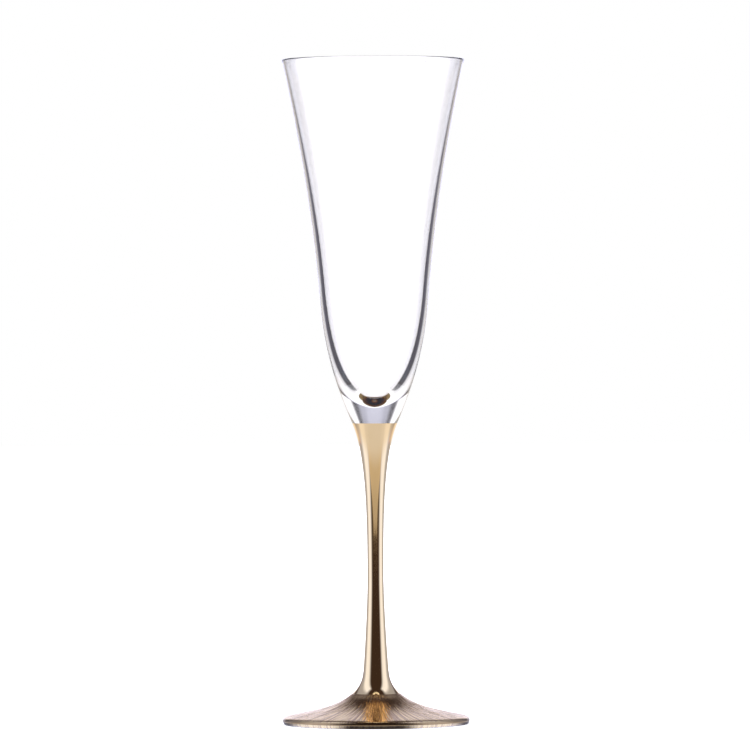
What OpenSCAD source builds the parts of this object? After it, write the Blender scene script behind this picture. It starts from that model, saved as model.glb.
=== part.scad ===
// Champagne flute: a blown trumpet bowl with a solid clear base, a slender solid stem and
// a spun foot, fused together, with a gold coat from under the clear base to the foot's edge.
// Millimetres, +Z up. The origin is on the table, under the middle of the foot.
// Every piece is a revolved outline, and an outline is a list of [radius, height] points.

/* [Bowl] */
// Height of the whole glass
total_h = 260; // [245:1:275]
// Outer radius of the rim
rim_r = 35.7; // [34:0.1:37]
// Outer radius of the waist, where the flare ends
waist_r = 21.7; // [21:0.1:23]
// Height of the waist
waist_z = 170; // [166:1:176]
// Thickness of the wall at the rim
rim_wall = 1.1; // [0.9:0.05:1.4]
// Thickness of the wall at the waist
waist_wall = 2.4; // [2:0.1:2.8]
// Height of the lowest point inside the bowl
inside_z = 125.2; // [124:0.2:129]

/* [Stem] */
// Height of the line where the gold starts
gold_z = 117.7; // [116:0.1:119]
// Radius of the glass at that line
gold_r = 8.8; // [8.4:0.1:9.2]
// Radius of the stem where it is thinnest
stem_r = 3.1; // [2.8:0.1:3.5]
// Height of the thinnest place
stem_z = 58; // [54:1:64]
// Radius of the fused joint between the stem and the foot
boss_r = 4.9; // [4.7:0.1:5.1]
// Height of that joint
boss_z = 21; // [20:0.5:22]

/* [Foot] */
// Radius of the foot
foot_r = 36.5; // [34:0.1:38]
// Radius of the foot's rounded edge
edge_r = 1.5; // [1.4:0.05:1.7]
// Radius of the circle where the hatched gold starts
hatch_r = 9.3; // [8.9:0.1:9.7]
// Height of that circle
hatch_z = 12; // [11.6:0.1:12.4]
// Width of the flat ring that the foot stands on
ring_w = 3.6; // [3:0.2:5]
// Depth of the hollow inside that ring
hollow_h = 1.8; // [1:0.1:2.2]

/* [Gilding] */
// Thickness of the gold coat, which is drawn far thicker than a real one
coat = 0.12; // [0.1:0.01:0.16]

/* [Hidden] */

$fn = 180;

// Steps along each curve
long_steps = 24;
short_steps = 12;

// The bowl is fused to the stem this many steps down the neck's curve
joint_step = 2;

// Depth of the rounded ends at the two fused joints
button_h = 2.4;
stem_end_h = 1.8;

// The coat ends this many degrees under the level of the middle of the foot's edge
coat_wrap = 62;

// The outline's slope in degrees from straight down, where one curve hands over to the next.
// Positive goes in on the way down, and negative goes out.
rim_lean = 12.5;
waist_lean = 4.8;
gold_lean = 23.6;
boss_lean = -4.5;
hatch_lean = -48;
edge_lean = -78;

// How far each curve is pulled along its first slope and along its last one
flare_pull = [31, 30];
shoulder_pull = [20, 20];
neck_pull = [13, 25];
shank_pull = [8, 12];
boss_pull = [4.5, 3.1];
top_pull = [8, 12];
inside_pull = [39, 3.5];

// One step down along a slope, 1 mm long
function down(lean) = [-sin(lean), -cos(lean)];

// A cubic curve from a to b, which leaves along the step a_way and arrives along b_way
function curve(a, a_way, b, b_way, pull, steps) = [
    for (i = [0:steps])
        let (t = i / steps, u = 1 - t)
        a * u ^ 3
            + (a + pull[0] * a_way) * 3 * u ^ 2 * t
            + (b - pull[1] * b_way) * 3 * u * t ^ 2
            + b * t ^ 3
];

// An arc about a centre, from one angle to another
function arc(centre, r, from, to, steps) = [
    for (i = [0:steps])
        let (angle = from + (to - from) * i / steps)
        centre + r * [cos(angle), sin(angle)]
];

// A shallow round cap that hangs from the circle through a point, listed from there to the axis
function cap(start, depth, steps) =
    let (r = (start.x ^ 2 + depth ^ 2) / (2 * depth))
    arc([0, start.y - depth + r], r, asin(start.x / r) - 90, -90, steps);

function slice(line, from, to) = [for (i = [from:to]) line[i]];
function reverse(line) = [for (i = [len(line) - 1:-1:0]) line[i]];

// Several lines as one, where each starts on the last point of the one before
function join(lines) = [
    for (i = [0:len(lines) - 1], j = [min(i, 1):len(lines[i]) - 1]) lines[i][j]
];

// The same line moved sideways, to its left as it is listed
function beside(line, gap) = [
    for (i = [0:len(line) - 1])
        let (along = line[min(i + 1, len(line) - 1)] - line[max(i - 1, 0)])
        line[i] + gap * [-along.y, along.x] / norm(along)
];

// The lip is half a circle that leans with the flare, in two parts that meet on its top
lip_r = rim_wall / 2;
lip_centre = [rim_r - lip_r, total_h - lip_r];
lip_outside = arc(lip_centre, lip_r, 90, -rim_lean, 6);
lip_inside = arc(lip_centre, lip_r, 90, 180 - rim_lean, 6);

// The outside of the glass, from the lip down to the table
rim = lip_outside[len(lip_outside) - 1];
waist = [waist_r, waist_z];
gold_line = [gold_r, gold_z];
thinnest = [stem_r, stem_z];
stem_end = [boss_r, boss_z];
hatch_line = [hatch_r, hatch_z];
edge_centre = [foot_r - edge_r, edge_r];
edge = arc(edge_centre, edge_r, -edge_lean, -90, long_steps);

flare = curve(rim, down(rim_lean), waist, down(waist_lean), flare_pull, long_steps);
shoulder = curve(waist, down(waist_lean), gold_line, down(gold_lean), shoulder_pull, long_steps);
neck = curve(gold_line, down(gold_lean), thinnest, down(0), neck_pull, long_steps);
shank = curve(thinnest, down(0), stem_end, down(boss_lean), shank_pull, short_steps);
boss = curve(stem_end, down(boss_lean), hatch_line, down(hatch_lean), boss_pull, short_steps);
foot_top = curve(hatch_line, down(hatch_lean), edge[0], down(edge_lean), top_pull, long_steps);

// The inside of the bowl, from the lip down to the axis
inner_rim = lip_inside[len(lip_inside) - 1];
inner_waist = waist - [waist_wall, 0];
inner_flare = curve(inner_rim, down(rim_lean), inner_waist, down(waist_lean), flare_pull, long_steps);
inner_base = curve(inner_waist, down(waist_lean), [0, inside_z], [-1, 0], inside_pull, long_steps);

// The two fused joints, each one face that the pieces on both sides share
bowl_joint = cap(neck[joint_step], button_h, short_steps);
foot_joint = cap(stem_end, stem_end_h, short_steps);

// Under the foot: from the flat ring's inner edge, a shallow dome up to the axis
ring_r = edge_centre.x - ring_w;
foot_hollow = [
    for (i = [short_steps:-1:0]) let (out = i / short_steps) [ring_r * out, hollow_h * (1 - out ^ 2)]
];

// What the gold covers, and the outside of the coat on it
coated_edge = [for (point = edge) if (point.y > edge_r * (1 - sin(coat_wrap))) point];
coated = join([neck, shank, boss, foot_top, coated_edge]);
coat_skin = beside(coated, coat);
hatch_start = long_steps + 2 * short_steps;

module revolved(outline) {
    rotate_extrude() polygon(outline);
}

// A stretch of the gold coat, between two points of the line that it covers
module gilding(from, to) {
    revolved(concat(slice(coated, from, to), reverse(slice(coat_skin, from, to))));
}

// Blown bowl, with the solid base under its hollow and the button that the stem holds
module bowl() {
    outside = join([lip_outside, flare, shoulder, slice(neck, 0, joint_step), bowl_joint]);
    inside = join([lip_inside, inner_flare, inner_base]);
    color([0.93, 0.95, 0.97, 0.35]) revolved(concat(outside, reverse(slice(inside, 1, len(inside) - 1))));
}

// Solid glass stem, cupped on top and round at its lower end
module stem() {
    sides = slice(neck, joint_step, long_steps);
    color([0.93, 0.95, 0.97, 0.35]) revolved(join([reverse(bowl_joint), sides, shank, foot_joint]));
}

// Spun glass foot, with the boss that holds the stem
module foot() {
    top = join([reverse(foot_joint), boss, foot_top, edge]);
    color([0.93, 0.95, 0.97, 0.35]) revolved(concat(top, foot_hollow));
}

// Polished gold, from the line under the clear base to the foot
module stem_gilding() {
    color([0.86, 0.7, 0.44]) gilding(0, hatch_start);
}

// Hatched gold over the foot's top, and round its edge
module foot_gilding() {
    color([0.8, 0.62, 0.36]) gilding(hatch_start, len(coated) - 1);
}

bowl();
stem();
foot();
stem_gilding();
foot_gilding();
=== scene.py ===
import math

import bpy
import numpy as np
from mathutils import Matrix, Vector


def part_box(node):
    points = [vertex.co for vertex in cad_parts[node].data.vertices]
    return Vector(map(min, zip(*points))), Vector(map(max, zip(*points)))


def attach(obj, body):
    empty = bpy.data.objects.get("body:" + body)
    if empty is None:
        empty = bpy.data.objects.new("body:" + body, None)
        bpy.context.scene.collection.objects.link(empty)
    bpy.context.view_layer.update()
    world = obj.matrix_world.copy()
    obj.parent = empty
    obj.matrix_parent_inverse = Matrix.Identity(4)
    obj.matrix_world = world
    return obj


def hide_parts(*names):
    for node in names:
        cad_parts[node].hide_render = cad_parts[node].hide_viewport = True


# Champagne flute: clear blown bowl, gilded stem and hatched, gilded foot, in metres, +Z up.
# Every piece is an outline of [radius, height] points turned about Z, at the sizes the CAD has.

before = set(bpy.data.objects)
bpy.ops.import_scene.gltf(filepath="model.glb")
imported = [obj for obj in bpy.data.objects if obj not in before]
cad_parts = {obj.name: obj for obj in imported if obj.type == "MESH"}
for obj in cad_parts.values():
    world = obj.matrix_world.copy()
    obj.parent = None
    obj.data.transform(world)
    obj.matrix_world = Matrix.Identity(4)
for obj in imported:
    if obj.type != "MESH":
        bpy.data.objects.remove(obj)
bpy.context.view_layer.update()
scene = bpy.context.scene
random = np.random.default_rng(7)

MM = 0.001

# ---------------------------------------------------------------- sizes, from the CAD's boxes
_, bowl_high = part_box("bowl")
_, foot_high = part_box("foot")
coat_low, coat_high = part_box("stem_gilding")

TOTAL_H = bowl_high.z
RIM_R = bowl_high.x
FOOT_R = foot_high.x
BOSS_Z = foot_high.z
GOLD_Z = coat_high.z
HATCH_Z = coat_low.z

# The outline's other sizes, as part.scad has them
WAIST = (21.7 * MM, 170 * MM)
RIM_WALL = 1.1 * MM
WAIST_WALL = 2.4 * MM
INSIDE_Z = 125.2 * MM
GOLD_R = 8.8 * MM
STEM = (3.1 * MM, 58 * MM)
BOSS_R = 4.9 * MM
HATCH_R = 9.3 * MM
EDGE_R = 1.5 * MM
RING_W = 3.6 * MM
HOLLOW_H = 1.8 * MM
BUTTON_H = 2.4 * MM
STEM_END_H = 1.8 * MM
JOINT_SHARE = 2 / 24
COAT_WRAP = math.radians(62)

# Slopes in degrees from straight down, and how far each curve is pulled along them
RIM_LEAN, WAIST_LEAN, GOLD_LEAN = 12.5, 4.8, 23.6
BOSS_LEAN, HATCH_LEAN, EDGE_LEAN = -4.5, -48, -78
FLARE_PULL = (31 * MM, 30 * MM)
SHOULDER_PULL = (20 * MM, 20 * MM)
NECK_PULL = (13 * MM, 25 * MM)
SHANK_PULL = (8 * MM, 12 * MM)
BOSS_PULL = (4.5 * MM, 3.1 * MM)
TOP_PULL = (8 * MM, 12 * MM)
INSIDE_PULL = (39 * MM, 3.5 * MM)

# The coats as fired on, and the gap that keeps each of them clear of the glass
COAT = 0.05 * MM
COAT_GAP = 0.005 * MM

# The strokes cut in the foot's coat. Their depths are shares of the whole depth, they start from a
# share of the hatching's inner radius outwards, and each end tapers over a share of the length.
HATCH_DEPTH = 0.075 * MM
STROKES = 1300
STROKE_LENGTH = (3 * MM, 11 * MM)
STROKE_WIDTH = (0.25 * MM, 0.6 * MM)
STROKE_DEPTH = (0.4, 1)
STROKE_DRIFT = 0.5 * MM
FIRST_STROKE = 0.4
END_TAPER = 0.2
# The hatching rises from the glass over these widths, at its inner and its outer edge
FADE_IN, FADE_OUT = 0.8 * MM, 0.5 * MM

# Fineness of the noise, in features per metre, and of the scratches, in features per radian round
# the foot
WAVES, TONE_PATCHES, POLISH_MARKS, SCRATCHES = 60, 150, 400, 50
GLASS_IOR = 1.52

# Tones of the coat: the two that it wanders between and where it is scratched; then painted shade on the
# line round the foot's edge and painted shade close round the stem; and the coat from inside the glass
GOLD_PALE = (1, 0.75, 0.39)
GOLD_DEEP = (0.96, 0.71, 0.35)
GOLD_WORN = (0.7, 0.49, 0.29)
GOLD_EDGE_SHADE = (0.42, 0.29, 0.14)
GOLD_STEM_SHADE = (0.5, 0.31, 0.13)
GOLD_INSIDE = (0.66, 0.52, 0.25)

# What reflections see: the panel behind, the side panels, the dark between them, the table near the
# glass, the strip that it mirrors in front, and the table far behind. The last one is the tint of
# what is reflected a second time.
BACK_SHINE = (1.15, 1.17, 1.5)
SIDE_SHINE = (1, 1.15, 1.8)
DARK_SHINE = (0.045, 0.03, 0.028)
TABLE_SHINE = (1, 1.02, 1.28)
STRIP_SHINE = (1, 0.92, 0.88)
BEHIND_SHINE = (0.3, 0.31, 0.33)
TWICE_SHINE = (1.2, 0.95, 0.65)

# What shines through the glass: the plain light, the panel behind, the dark between the panels, and
# the light after three or more bounces inside, from above the table and from the table
CLEAR_LIGHT = (1.28, 1.26, 1.28)
BACK_CLEAR = (1.28, 1.28, 1.48)
DARK_CLEAR = (0.02, 0.015, 0.018)
DEEP_HIGH = (0.33, 0.29, 0.22)
DEEP_LOW = (0.25, 0.155, 0.08)
WHITE = (1, 1, 1)

# How far the side panels' edges lean in with height, as light bent in the glass sees them
SIDE_LEAN = 0.66
# How far in front of the glass the table's mirrored strip ends
STRIP_END = 1.075
# How dark the table is between the bright parts that light bent in the glass sees
BENT_DARK = 0.04
# Half the table's width, its paint, and the lamp over it
TABLE = 6
TABLE_PAINT = (0.85, 0.85, 0.85, 1)
OVERHEAD_POWER, OVERHEAD_SPREAD = 6, math.radians(150)

# The camera stands level with the lower bowl, and looks down and leans a little
CAMERA_PLACE = (0.0002, -2.65, 0.157)
CAMERA_TIP = math.atan2(0.0205, 2.65)
CAMERA_ROLL = math.radians(-0.3)
LENS, SENSOR, CLIP_END = 325.3, 36, 50

# Fineness of the meshes: points round a turn, and steps along an outline. The hatched coat stays
# under 200,000 triangles.
TURNS, HATCH_TURNS = 256, 1128
LONG, SHORT, TINY, HATCH_STEPS = 60, 30, 8, 45
# The coat's underside keeps every third ring, creases sharper than this are drawn sharp, and a ring
# smaller than this is a point on the axis
COARSE = 3
SHARP = math.radians(25)
ON_AXIS = 1e-9


# ---------------------------------------------------------------- outlines
def down(lean):
    """One unit along a slope that leans in on the way down."""
    return np.array([-math.sin(math.radians(lean)), -math.cos(math.radians(lean))])


def curve(a, a_way, b, b_way, pull, steps, share=(0.0, 1.0)):
    """A cubic curve from a, leaving along a_way, to b, arriving along b_way, or a share of it."""
    t = np.linspace(share[0], share[1], steps + 1)[:, None]
    u = 1 - t
    a, b = np.array(a), np.array(b)
    first, second = a + pull[0] * a_way, b - pull[1] * b_way
    return a * u**3 + first * 3 * u**2 * t + second * 3 * u * t**2 + b * t**3


def arc(centre, r, start, end, steps):
    """An arc about a centre, from one angle in degrees to another."""
    angles = np.radians(np.linspace(start, end, steps + 1))
    return np.array(centre) + r * np.stack([np.cos(angles), np.sin(angles)], 1)


def cap(start, depth, steps):
    """A shallow round cap that hangs from the circle through a point, from there to the axis."""
    r = (start[0] ** 2 + depth**2) / (2 * depth)
    half = math.degrees(math.asin(start[0] / r))
    return arc([0, start[1] - depth + r], r, half - 90, -90, steps)


def beside(line, gap):
    """The same line moved sideways, to its left as it is listed."""
    along = np.gradient(line, axis=0)
    normal = np.stack([-along[:, 1], along[:, 0]], 1)
    return line + gap * normal / np.linalg.norm(normal, axis=1)[:, None]


LIP_R = RIM_WALL / 2
LIP_CENTRE = (RIM_R - LIP_R, TOTAL_H - LIP_R)
GOLD_LINE, BOSS_TOP, HATCH_LINE = (GOLD_R, GOLD_Z), (BOSS_R, BOSS_Z), (HATCH_R, HATCH_Z)
INNER_WAIST = (WAIST[0] - WAIST_WALL, WAIST[1])
EDGE_CENTRE = (FOOT_R - EDGE_R, EDGE_R)
STRAIGHT = down(0)

lip = arc(LIP_CENTRE, LIP_R, 180 - RIM_LEAN, -RIM_LEAN, 2 * TINY)
flare = curve(lip[-1], down(RIM_LEAN), WAIST, down(WAIST_LEAN), FLARE_PULL, LONG)
shoulder = curve(WAIST, down(WAIST_LEAN), GOLD_LINE, down(GOLD_LEAN), SHOULDER_PULL, LONG)
neck_ends = (GOLD_LINE, down(GOLD_LEAN), STEM, STRAIGHT, NECK_PULL)
button_side = curve(*neck_ends, TINY, (0, JOINT_SHARE))
neck = curve(*neck_ends, LONG, (JOINT_SHARE, 1))
shank = curve(STEM, STRAIGHT, BOSS_TOP, down(BOSS_LEAN), SHANK_PULL, SHORT)
boss = curve(BOSS_TOP, down(BOSS_LEAN), HATCH_LINE, down(HATCH_LEAN), BOSS_PULL, SHORT)
edge = arc(EDGE_CENTRE, EDGE_R, -EDGE_LEAN, -90, 2 * TINY)
foot_top = curve(HATCH_LINE, down(HATCH_LEAN), edge[0], down(EDGE_LEAN), TOP_PULL, HATCH_STEPS)
inner_flare = curve(lip[0], down(RIM_LEAN), INNER_WAIST, down(WAIST_LEAN), FLARE_PULL, LONG)
inner_base = curve(INNER_WAIST, down(WAIST_LEAN), (0, INSIDE_Z), np.array([-1, 0]), INSIDE_PULL, LONG)
bowl_joint = cap(button_side[-1], BUTTON_H, TINY)
foot_joint = cap(BOSS_TOP, STEM_END_H, TINY)
ring_r = EDGE_CENTRE[0] - RING_W
out = np.linspace(1, 0, SHORT + 1)
hollow = np.stack([ring_r * out, HOLLOW_H * (1 - out**2)], 1)


# ---------------------------------------------------------------- meshes
def turned(line, turns=TURNS):
    """The line's points turned about Z, as an array of rings of points."""
    angles = np.arange(turns) * 2 * math.pi / turns
    radii, heights = np.array(line).T[:, :, None]
    return np.stack([radii * np.cos(angles), radii * np.sin(angles), heights + 0 * angles], 2)


def skin(name, rings, ring_materials, materials):
    """A piece whose faces join each ring to the next. A ring of no size is one point on the axis."""
    turns = rings.shape[1]
    verts, places = [], []
    for ring in rings:
        on_axis = np.abs(ring[:, :2]).max() < ON_AXIS
        places.append(np.full(turns, len(verts)) if on_axis else len(verts) + np.arange(turns))
        verts.extend(ring[:1] if on_axis else ring)
    faces, face_materials = [], []
    for i, material in enumerate(ring_materials):
        a, b = places[i], places[(i + 1) % len(places)]
        for corners in zip(a, b, np.roll(b, -1), np.roll(a, -1)):
            corners = tuple(dict.fromkeys(map(int, corners)))
            if len(corners) > 2:
                faces.append(corners)
                face_materials.append(material)
    mesh = bpy.data.meshes.new(name)
    mesh.from_pydata([tuple(map(float, v)) for v in verts], [], faces)
    for material in materials:
        mesh.materials.append(material)
    mesh.polygons.foreach_set("material_index", face_materials)
    mesh.polygons.foreach_set("use_smooth", [True] * len(faces))
    mesh.set_sharp_from_angle(angle=SHARP)
    piece = bpy.data.objects.new(name, mesh)
    scene.collection.objects.link(piece)
    return piece


def lathe(name, stretches, materials):
    """A turned piece from stretches of (line, material index), each starting where the last ended."""
    line, indices = [stretches[0][0][0]], []
    for stretch, index in stretches:
        line.extend(stretch[1:])
        indices.extend([index] * (len(stretch) - 1))
    return skin(name, turned(line), indices, materials)


def hatching(radii, turns):
    """How far the hatched coat stands proud at each ring and turn: whole, less its radial strokes."""
    angles = np.arange(turns) * 2 * math.pi / turns
    cut = np.zeros((len(radii), turns))
    inner, outer = radii.min(), radii.max()
    for _ in range(STROKES):
        start = math.sqrt(random.uniform((FIRST_STROKE * inner) ** 2, outer**2))
        length, width = random.uniform(*STROKE_LENGTH), random.uniform(*STROKE_WIDTH)
        along = (radii - start) / length
        centre = random.uniform(0, 2 * math.pi) + random.normal(0, STROKE_DRIFT) / start * along
        across = (angles - centre[:, None] + math.pi) % (2 * math.pi) - math.pi
        groove = np.clip(1 - np.abs(across) * radii[:, None] / (width / 2), 0, 1)
        ends = np.clip(along / END_TAPER, 0, 1) * np.clip((1 - along) / END_TAPER, 0, 1)
        cut = np.maximum(cut, random.uniform(*STROKE_DEPTH) * groove * ends[:, None])
    fade = np.clip((radii - inner) / FADE_IN, 0, 1) * np.clip((outer - radii) / FADE_OUT, 0, 1)
    return HATCH_DEPTH * fade[:, None] * (1 - cut)


# ---------------------------------------------------------------- materials
def new_material(name):
    """A node material with a Principled shader, and the parts of its tree."""
    material = bpy.data.materials.new(name)
    material.use_nodes = True
    tree = material.node_tree
    return material, tree, tree.nodes["Principled BSDF"]


def calculate(tree, operation, *values):
    """A Math node on sockets or numbers."""
    node = tree.nodes.new("ShaderNodeMath")
    node.operation = operation
    for socket, value in zip(node.inputs, values):
        if isinstance(value, bpy.types.NodeSocket):
            tree.links.new(value, socket)
        else:
            socket.default_value = value
    return node.outputs["Value"]


def mix_colours(tree, a, b, factor=1.0, kind="MIX"):
    """A Mix node of that kind on colours, which are sockets or red, green and blue."""
    node = tree.nodes.new("ShaderNodeMix")
    node.data_type = "RGBA"
    node.blend_type = kind
    for name, value in (("Factor", factor), ("A", a), ("B", b)):
        socket = node.inputs[name]
        if isinstance(value, bpy.types.NodeSocket):
            tree.links.new(value, socket)
        else:
            socket.default_value = value if name == "Factor" else (*value, 1)
    return node.outputs["Result"]


def tint(tree, level, colour):
    """A level or colour times another."""
    return mix_colours(tree, level, colour, kind="MULTIPLY")


def add_lights(tree, *lights):
    """Several lights at once."""
    total = lights[0]
    for light in lights[1:]:
        total = mix_colours(tree, total, light, kind="ADD")
    return total


def ramp(tree, value, *stops, span=1.0):
    """A smooth ramp through (value, level) stops, for values from 0 to span.

    Cycles keeps a ramp as 256 steps, so one with all its stops near 0 needs a shorter span.
    """
    node = tree.nodes.new("ShaderNodeValToRGB")
    node.color_ramp.interpolation = "EASE"
    elements = node.color_ramp.elements
    while len(elements) < len(stops):
        elements.new(0.5)
    for element, (position, level) in zip(elements, stops):
        element.position = position / span
        element.color = (level, level, level, 1)
    if span != 1:
        value = calculate(tree, "DIVIDE", value, span)
    tree.links.new(value, node.inputs["Fac"])
    return node.outputs["Color"]


def between(tree, factor, low, high):
    """A number that goes from low to high as factor goes from 0 to 1."""
    return calculate(tree, "MULTIPLY_ADD", factor, high - low, low)


def bump(tree, shader, height, distance):
    """Surface relief of that height in metres."""
    node = tree.nodes.new("ShaderNodeBump")
    node.inputs["Distance"].default_value = distance
    tree.links.new(height, node.inputs["Height"])
    tree.links.new(node.outputs["Normal"], shader.inputs["Normal"])


def noise(tree, scale, detail=2.0, where=None):
    """Noise over the row frame, or over the given place, with scale in features per unit."""
    texture = tree.nodes.new("ShaderNodeTexNoise")
    texture.inputs["Scale"].default_value = scale
    texture.inputs["Detail"].default_value = detail
    where = where or tree.nodes.new("ShaderNodeTexCoord").outputs["Object"]
    tree.links.new(where, texture.inputs["Vector"])
    return texture.outputs["Fac"]


def place(tree, output="Object"):
    """The x, y and z of a texture coordinate, and how far it is from the Z axis."""
    coords = tree.nodes.new("ShaderNodeTexCoord")
    split = tree.nodes.new("ShaderNodeSeparateXYZ")
    tree.links.new(coords.outputs[output], split.inputs["Vector"])
    x, y, z = split.outputs
    squares = calculate(tree, "MULTIPLY_ADD", y, y, calculate(tree, "MULTIPLY", x, x))
    return x, y, z, calculate(tree, "SQRT", squares)


def spokes(tree, x, y, radius):
    """A place for textures drawn out along the radius: the direction from the axis, and the radius."""
    join = tree.nodes.new("ShaderNodeCombineXYZ")
    tree.links.new(calculate(tree, "DIVIDE", x, radius), join.inputs["X"])
    tree.links.new(calculate(tree, "DIVIDE", y, radius), join.inputs["Y"])
    tree.links.new(radius, join.inputs["Z"])
    return join.outputs["Vector"]


def clear_glass():
    """Blown crystal: colourless, with the faint drawn waviness of hand work."""
    material, tree, shader = new_material("clear_glass")
    shader.inputs["Base Color"].default_value = (0.99, 0.985, 0.99, 1)
    shader.inputs["Transmission Weight"].default_value = 1
    shader.inputs["Roughness"].default_value = 0
    shader.inputs["IOR"].default_value = GLASS_IOR
    bump(tree, shader, noise(tree, WAVES, 1), 0.01 * MM)
    return material


def fused_glass():
    """The face where two pieces are fused: light goes straight through it."""
    material = bpy.data.materials.new("fused_glass")
    material.use_nodes = True
    tree = material.node_tree
    tree.nodes.remove(tree.nodes["Principled BSDF"])
    clear = tree.nodes.new("ShaderNodeBsdfTransparent")
    tree.links.new(clear.outputs["BSDF"], tree.nodes["Material Output"].inputs["Surface"])
    return material


def gold(name):
    """A metal shader with the tone of the fired coat, slightly uneven over millimetres."""
    material, tree, shader = new_material(name)
    shader.inputs["Metallic"].default_value = 1
    tone = mix_colours(tree, GOLD_DEEP, GOLD_PALE, noise(tree, TONE_PATCHES))
    return material, tree, shader, tone


def polished_gold():
    """Bright fired gold, burnished almost to a mirror."""
    material, tree, shader, tone = gold("polished_gold")
    tree.links.new(tone, shader.inputs["Base Color"])
    tree.links.new(between(tree, noise(tree, POLISH_MARKS), 0.03, 0.08), shader.inputs["Roughness"])
    return material


def hatched_gold():
    """Gold on the hatched foot: scratched between the cut strokes, with painted shade round the stem and on
    a line at the foot's edge.
    """
    material, tree, shader, tone = gold("hatched_gold")
    x, y, z, radius = place(tree)
    scratches = noise(tree, SCRATCHES, 3, spokes(tree, x, y, radius))
    wear_and_shade = mix_colours(tree, tone, GOLD_WORN, ramp(tree, scratches, (0.42, 0), (0.6, 1)))
    # Painted shade: the coat is darkened close round the stem
    stem_shade = ramp(tree, radius, (11 * MM, 0.8), (20 * MM, 0), span=100 * MM)
    wear_and_shade = mix_colours(tree, wear_and_shade, GOLD_STEM_SHADE, stem_shade)
    # Painted shade: a dark line, by height, where the foot's top turns over into its edge
    edge_shade_heights = (1.2 * MM, 0), (1.5 * MM, 1), (2.35 * MM, 1), (2.6 * MM, 0)
    line = ramp(tree, z, *edge_shade_heights, span=10 * MM)
    tree.links.new(mix_colours(tree, wear_and_shade, GOLD_EDGE_SHADE, line), shader.inputs["Base Color"])
    tree.links.new(between(tree, scratches, 0.1, 0.3), shader.inputs["Roughness"])
    bump(tree, shader, scratches, 0.04 * MM)
    return material


def gold_under_glass():
    """The coat as the light inside the glass meets it."""
    material, tree, shader, tone = gold("gold_under_glass")
    tree.links.new(mix_colours(tree, tone, GOLD_INSIDE, 0.8), shader.inputs["Base Color"])
    shader.inputs["Roughness"].default_value = 0.08
    return material


# ---------------------------------------------------------------- the object
def add_piece(piece, node):
    """Puts a made piece in the place of its CAD node."""
    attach(piece, "root")
    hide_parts(node)


def flip(line):
    """The line listed from its other end."""
    return line[::-1]


def chain(*lines):
    """Lines that meet end to end, as one line."""
    return np.concatenate([lines[0], *(line[1:] for line in lines[1:])])


def add_glass(coated_edge, bare_edge):
    """The three glass pieces, gold where the coat covers them and clear where they are fused."""
    glass, bond, fused = clear_glass(), gold_under_glass(), fused_glass()
    bowl = [(flip(inner_base), 0), (flip(inner_flare), 0), (lip, 0), (flare, 0), (shoulder, 0)]
    bowl += [(button_side, 1), (bowl_joint, 2)]
    stem = [(flip(bowl_joint), 2), (neck, 1), (shank, 1), (foot_joint, 2)]
    foot = [(flip(foot_joint), 2), (boss, 1), (foot_top, 1), (coated_edge, 1), (bare_edge, 0)]
    foot += [(np.array([edge[-1], hollow[0]]), 0), (hollow, 0)]
    for name, node, stretches in (
        ("clear_bowl", "bowl", bowl),
        ("glass_stem", "stem", stem),
        ("glass_foot", "foot", foot),
    ):
        add_piece(lathe(name, stretches, [glass, bond, fused]), node)


def add_coats(coated_edge):
    """The two gold coats, each a thin closed shell, with the hatching cut in the foot's."""
    stem_line = chain(button_side, neck, shank, boss)
    foot_line = chain(foot_top, coated_edge)
    whole = chain(stem_line, foot_line)
    outer, inner = beside(whole, COAT), beside(whole, COAT_GAP)
    split = len(stem_line) - 1
    rings = np.concatenate([outer[: split + 1], flip(inner[: split + 1])])
    coat = skin("polished_coat", turned(rings), [0] * len(rings), [polished_gold()])
    add_piece(coat, "stem_gilding")

    relief = hatching(foot_top[:, 0], HATCH_TURNS)
    away = turned(beside(foot_top, 1) - foot_top, HATCH_TURNS)
    top_end = split + len(foot_top)
    under = np.concatenate([inner[split:top_end:COARSE], inner[top_end:]])
    rings = turned(np.concatenate([outer[split:], flip(under)]), HATCH_TURNS)
    rings[: len(foot_top)] += relief[:, :, None] * away
    coat = skin("hatched_coat", rings, [0] * len(rings), [hatched_gold()])
    add_piece(coat, "foot_gilding")


def make_flute():
    """All the pieces, with the foot's edge split where the coat ends."""
    wrapped = edge[:, 1] > EDGE_R * (1 - math.sin(COAT_WRAP))
    last = np.flatnonzero(wrapped)[-1]
    coated_edge, bare_edge = edge[: last + 1], edge[last:]
    add_glass(coated_edge, bare_edge)
    add_coats(coated_edge)


# ---------------------------------------------------------------- studio
def turn(degrees):
    """Degrees away from straight behind the glass, on the scale that the ramps use."""
    return degrees / 180


def rise(degrees):
    """Degrees above level, on the scale that the ramps use."""
    return 0.5 + degrees / 180


def screen(tree, across, up, colour):
    """The light of one panel, from a ramp across it, a ramp up it and its colour."""
    return tint(tree, tint(tree, across, up), colour)


def light_path(tree, output):
    """That output of the Light Path node."""
    return tree.nodes.new("ShaderNodeLightPath").outputs[output]


def bearing(tree, x, y):
    """How far round from straight behind the glass a direction is, up to 1 straight in front of it."""
    angle = calculate(tree, "ARCTAN2", calculate(tree, "ABSOLUTE", x), y)
    return calculate(tree, "DIVIDE", angle, math.pi)


def side_panel(tree, around):
    """How much of the light at each side a bearing sees: a dim part and then a bright one."""
    return ramp(
        tree, around,
        (turn(28), 0), (turn(42), 0.35), (turn(58), 0.38), (turn(88), 1), (turn(110), 0.95), (turn(138), 0),
    )


def back_height(tree, height):
    """How much of the panel behind the glass a height sees."""
    return ramp(
        tree, height,
        (rise(-30), 0), (rise(-20), 1), (rise(12), 1), (rise(27), 0.5), (rise(39), 0.02),
    )


def straight(tree, around):
    """The level straight through the glass near the table's height: alike every eighth of a turn."""
    spread = calculate(tree, "PINGPONG", around, turn(22.5))
    return ramp(tree, spread, (turn(15), 1), (turn(22.5), 0.85))


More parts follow.
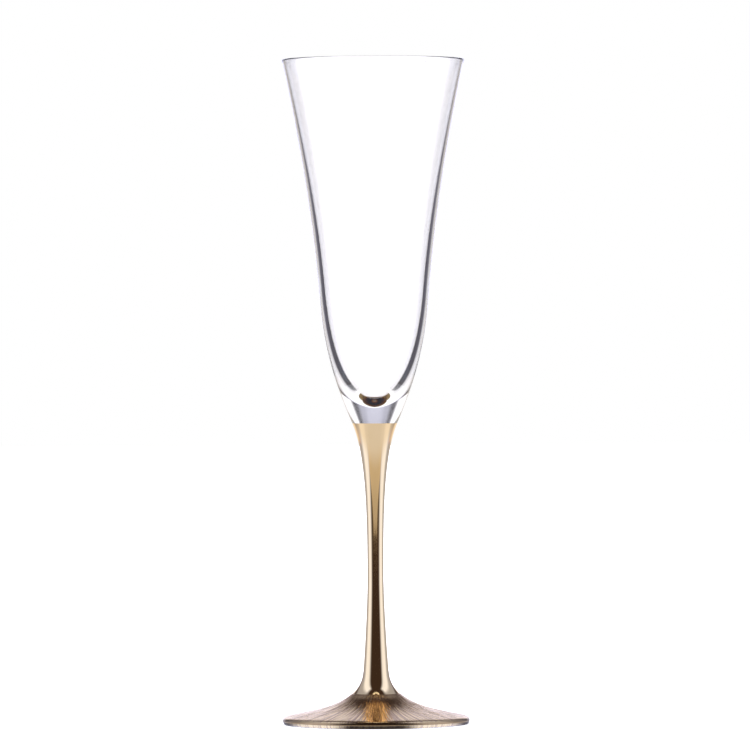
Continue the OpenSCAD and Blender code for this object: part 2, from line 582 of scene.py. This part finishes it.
def by_path(tree, shine, clean, bent, deep):
    """Picks the light that a ray meets, by how it has travelled.

    A reflected ray meets shine. A ray out of the glass meets bent after one bounce inside, deep
    after three or more, and clean otherwise.
    """
    bounces = light_path(tree, "Glossy Depth")
    twice = calculate(tree, "GREATER_THAN", bounces, 1.5)
    shine = tint(tree, shine, mix_colours(tree, WHITE, TWICE_SHINE, twice))
    through = mix_colours(tree, clean, bent, calculate(tree, "COMPARE", bounces, 1, 0.5))
    through = mix_colours(tree, through, deep, calculate(tree, "GREATER_THAN", bounces, 2.5))
    return mix_colours(tree, shine, through, light_path(tree, "Is Transmission Ray"))


def studio_shine(tree, around, height):
    """The studio in reflections: a panel behind, one at each side, and dark between them."""
    back = ramp(tree, around, (turn(14), 1), (turn(29), 0))
    back = screen(tree, back, back_height(tree, height), BACK_SHINE)
    side_up = ramp(tree, height, (rise(-10), 0), (rise(-4), 1), (rise(62), 1), (rise(73), 0))
    side = screen(tree, side_panel(tree, around), side_up, SIDE_SHINE)
    return add_lights(tree, back, DARK_SHINE, side)


def studio_bent(tree, around, height):
    """The studio as light bent in the glass sees it: the side panels lean in, and it's light overhead."""
    back = ramp(tree, around, (turn(8), 1), (turn(20), 0.78), (turn(31), 0.04), (turn(40), 0))
    back = screen(tree, back, back_height(tree, height), BACK_CLEAR)
    leant = calculate(tree, "MULTIPLY_ADD", calculate(tree, "SUBTRACT", height, rise(0)), SIDE_LEAN, around)
    side = ramp(tree, leant, (turn(55), 0), (turn(74), 1), (turn(125), 1), (turn(155), 0.1), (turn(165), 0))
    side_up = ramp(tree, height, (rise(-10), 0), (rise(-4), 1), (rise(38), 1), (rise(54), 0))
    lit = add_lights(tree, back, DARK_CLEAR, screen(tree, side, side_up, CLEAR_LIGHT))
    return mix_colours(tree, lit, CLEAR_LIGHT, ramp(tree, height, (rise(50), 0), (rise(64), 1)))


def studio_straight(tree, around, height, bent):
    """The studio straight through the glass: even low down and overhead, and as bent light between."""
    low = tint(tree, straight(tree, around), CLEAR_LIGHT)
    middle = mix_colours(tree, low, bent, ramp(tree, height, (rise(13), 0), (rise(21), 1)))
    return mix_colours(tree, middle, CLEAR_LIGHT, ramp(tree, height, (rise(35), 0), (rise(52), 1)))


def add_studio():
    """The world: white for the camera, and lit panels for what the glass and the gold show."""
    world = bpy.data.worlds.new("studio")
    scene.world = world
    world.use_nodes = True
    tree = world.node_tree
    x, y, z, _ = place(tree, "Generated")
    around = bearing(tree, x, y)
    height = calculate(tree, "MULTIPLY_ADD", calculate(tree, "ARCSINE", z), 1 / math.pi, rise(0))
    bent = studio_bent(tree, around, height)
    clean = studio_straight(tree, around, height, bent)
    seen = by_path(tree, studio_shine(tree, around, height), clean, bent, DEEP_HIGH)
    seen = mix_colours(tree, seen, WHITE, light_path(tree, "Is Camera Ray"))
    tree.links.new(seen, tree.nodes["Background"].inputs["Color"])


def table_near(tree, around):
    """The table near the glass in reflections, lit by the panels."""
    across = ramp(
        tree, around,
        (turn(15), 0.95), (turn(32), 0.3), (turn(50), 0.33), (turn(69), 0.55), (turn(90), 0.93),
        (turn(104), 0.91), (turn(125), 0.75), (turn(145), 0.71),
    )
    return tint(tree, across, TABLE_SHINE)


def table_far(tree, x, y, around, reach):
    """The table further off in reflections, mirroring the panels and a bright strip in front."""
    strip = ramp(tree, calculate(tree, "ABSOLUTE", x), (0.36, 1), (0.46, 0.1))
    strip_along = ramp(
        tree, calculate(tree, "MULTIPLY", y, -1),
        (0.161, 0.63), (0.323, 0.54), (0.753, 0.45), (1.065, 0.38), (STRIP_END, 0),
        span=STRIP_END,
    )
    strip = screen(tree, strip, strip_along, STRIP_SHINE)
    mirrored = mix_colours(tree, tint(tree, side_panel(tree, around), SIDE_SHINE), strip, kind="LIGHTEN")
    behind = ramp(tree, around, (turn(32), 1), (turn(50), 0))
    behind = screen(tree, behind, ramp(tree, reach, (0.25, 0), (0.4, 1)), BEHIND_SHINE)
    return add_lights(tree, mirrored, DARK_SHINE, behind)


def table_beside(tree, around):
    """The table right beside the foot in reflections, which the foot's edge shows: painted light at the
    sides, and painted shadow of the foot, darkest straight in front of it.
    """
    beside_foot = ramp(
        tree, around,
        (turn(60), 0.5), (turn(105), 0.15), (turn(130), 1), (turn(148), 1), (turn(164), 0.05),
    )
    return tint(tree, beside_foot, SIDE_SHINE)


def table_bent(tree, around):
    """The table as light bent in the glass sees it: dark to each side of straight behind."""
    return ramp(
        tree, around,
        (turn(8), 1), (turn(20), 0.7), (turn(31), BENT_DARK), (turn(55), BENT_DARK),
        (turn(74), 1), (turn(120), 1), (turn(140), BENT_DARK),
    )


def table_white():
    """White paint for the camera, which glows with what the glass and the gold show of the table."""
    material, tree, shader = new_material("table_white")
    material.cycles.emission_sampling = "NONE"
    shader.inputs["Base Color"].default_value = TABLE_PAINT
    shader.inputs["Roughness"].default_value = 1
    shader.inputs["Specular IOR Level"].default_value = 0

    x, y, _, reach = place(tree)
    around = bearing(tree, x, y)
    far = ramp(tree, reach, (0.22, 0), (0.42, 1))
    shine = mix_colours(tree, table_near(tree, around), table_far(tree, x, y, around, reach), far)
    beside_foot = ramp(tree, reach, (38 * MM, 1), (45 * MM, 0), span=100 * MM)
    shine = mix_colours(tree, shine, table_beside(tree, around), beside_foot)
    # Painted shadow: the light through the glass dims on the table under the foot and just round it
    clear = tint(tree, CLEAR_LIGHT, ramp(tree, reach, (33 * MM, 0.1), (45 * MM, 1), span=100 * MM))
    clean = tint(tree, straight(tree, around), clear)
    bent = tint(tree, table_bent(tree, around), clear)
    glow = tree.nodes.new("ShaderNodeEmission")
    tree.links.new(by_path(tree, shine, clean, bent, DEEP_LOW), glow.inputs["Color"])

    either = tree.nodes.new("ShaderNodeMixShader")
    seen = calculate(tree, "MAXIMUM", light_path(tree, "Is Camera Ray"), light_path(tree, "Is Diffuse Ray"))
    tree.links.new(seen, either.inputs["Fac"])
    tree.links.new(glow.outputs["Emission"], either.inputs[1])
    tree.links.new(shader.outputs["BSDF"], either.inputs[2])
    tree.links.new(either.outputs["Shader"], tree.nodes["Material Output"].inputs["Surface"])
    return material


def add_table():
    """A white table top."""
    mesh = bpy.data.meshes.new("table")
    corners = [(-TABLE, -TABLE, 0), (TABLE, -TABLE, 0), (TABLE, TABLE, 0), (-TABLE, TABLE, 0)]
    mesh.from_pydata(corners, [], [(0, 1, 2, 3)])
    mesh.materials.append(table_white())
    table = bpy.data.objects.new("table", mesh)
    scene.collection.objects.link(table)


def add_overhead():
    """A very soft light over the table, which shows only on the table and not as a reflection."""
    light = bpy.data.lights.new("overhead", "SUN")
    light.angle = OVERHEAD_SPREAD
    light.energy = OVERHEAD_POWER
    lamp = bpy.data.objects.new("overhead", light)
    lamp.visible_glossy = False
    lamp.visible_transmission = False
    scene.collection.objects.link(lamp)


def add_camera():
    """A long lens at the height of the lower bowl, tipped down a little."""
    data = bpy.data.cameras.new("camera")
    data.sensor_width = SENSOR
    data.lens = LENS
    data.clip_end = CLIP_END
    camera = bpy.data.objects.new("camera", data)
    camera.location = CAMERA_PLACE
    camera.rotation_euler = (math.radians(90) - CAMERA_TIP, 0, 0)
    camera.rotation_euler.rotate_axis("Z", CAMERA_ROLL)
    scene.collection.objects.link(camera)
    scene.camera = camera


make_flute()
add_table()
add_overhead()
add_studio()
add_camera()
scene.view_settings.view_transform = "Standard"
scene.cycles.max_bounces = 24
scene.cycles.glossy_bounces = 12
scene.cycles.transmission_bounces = 24
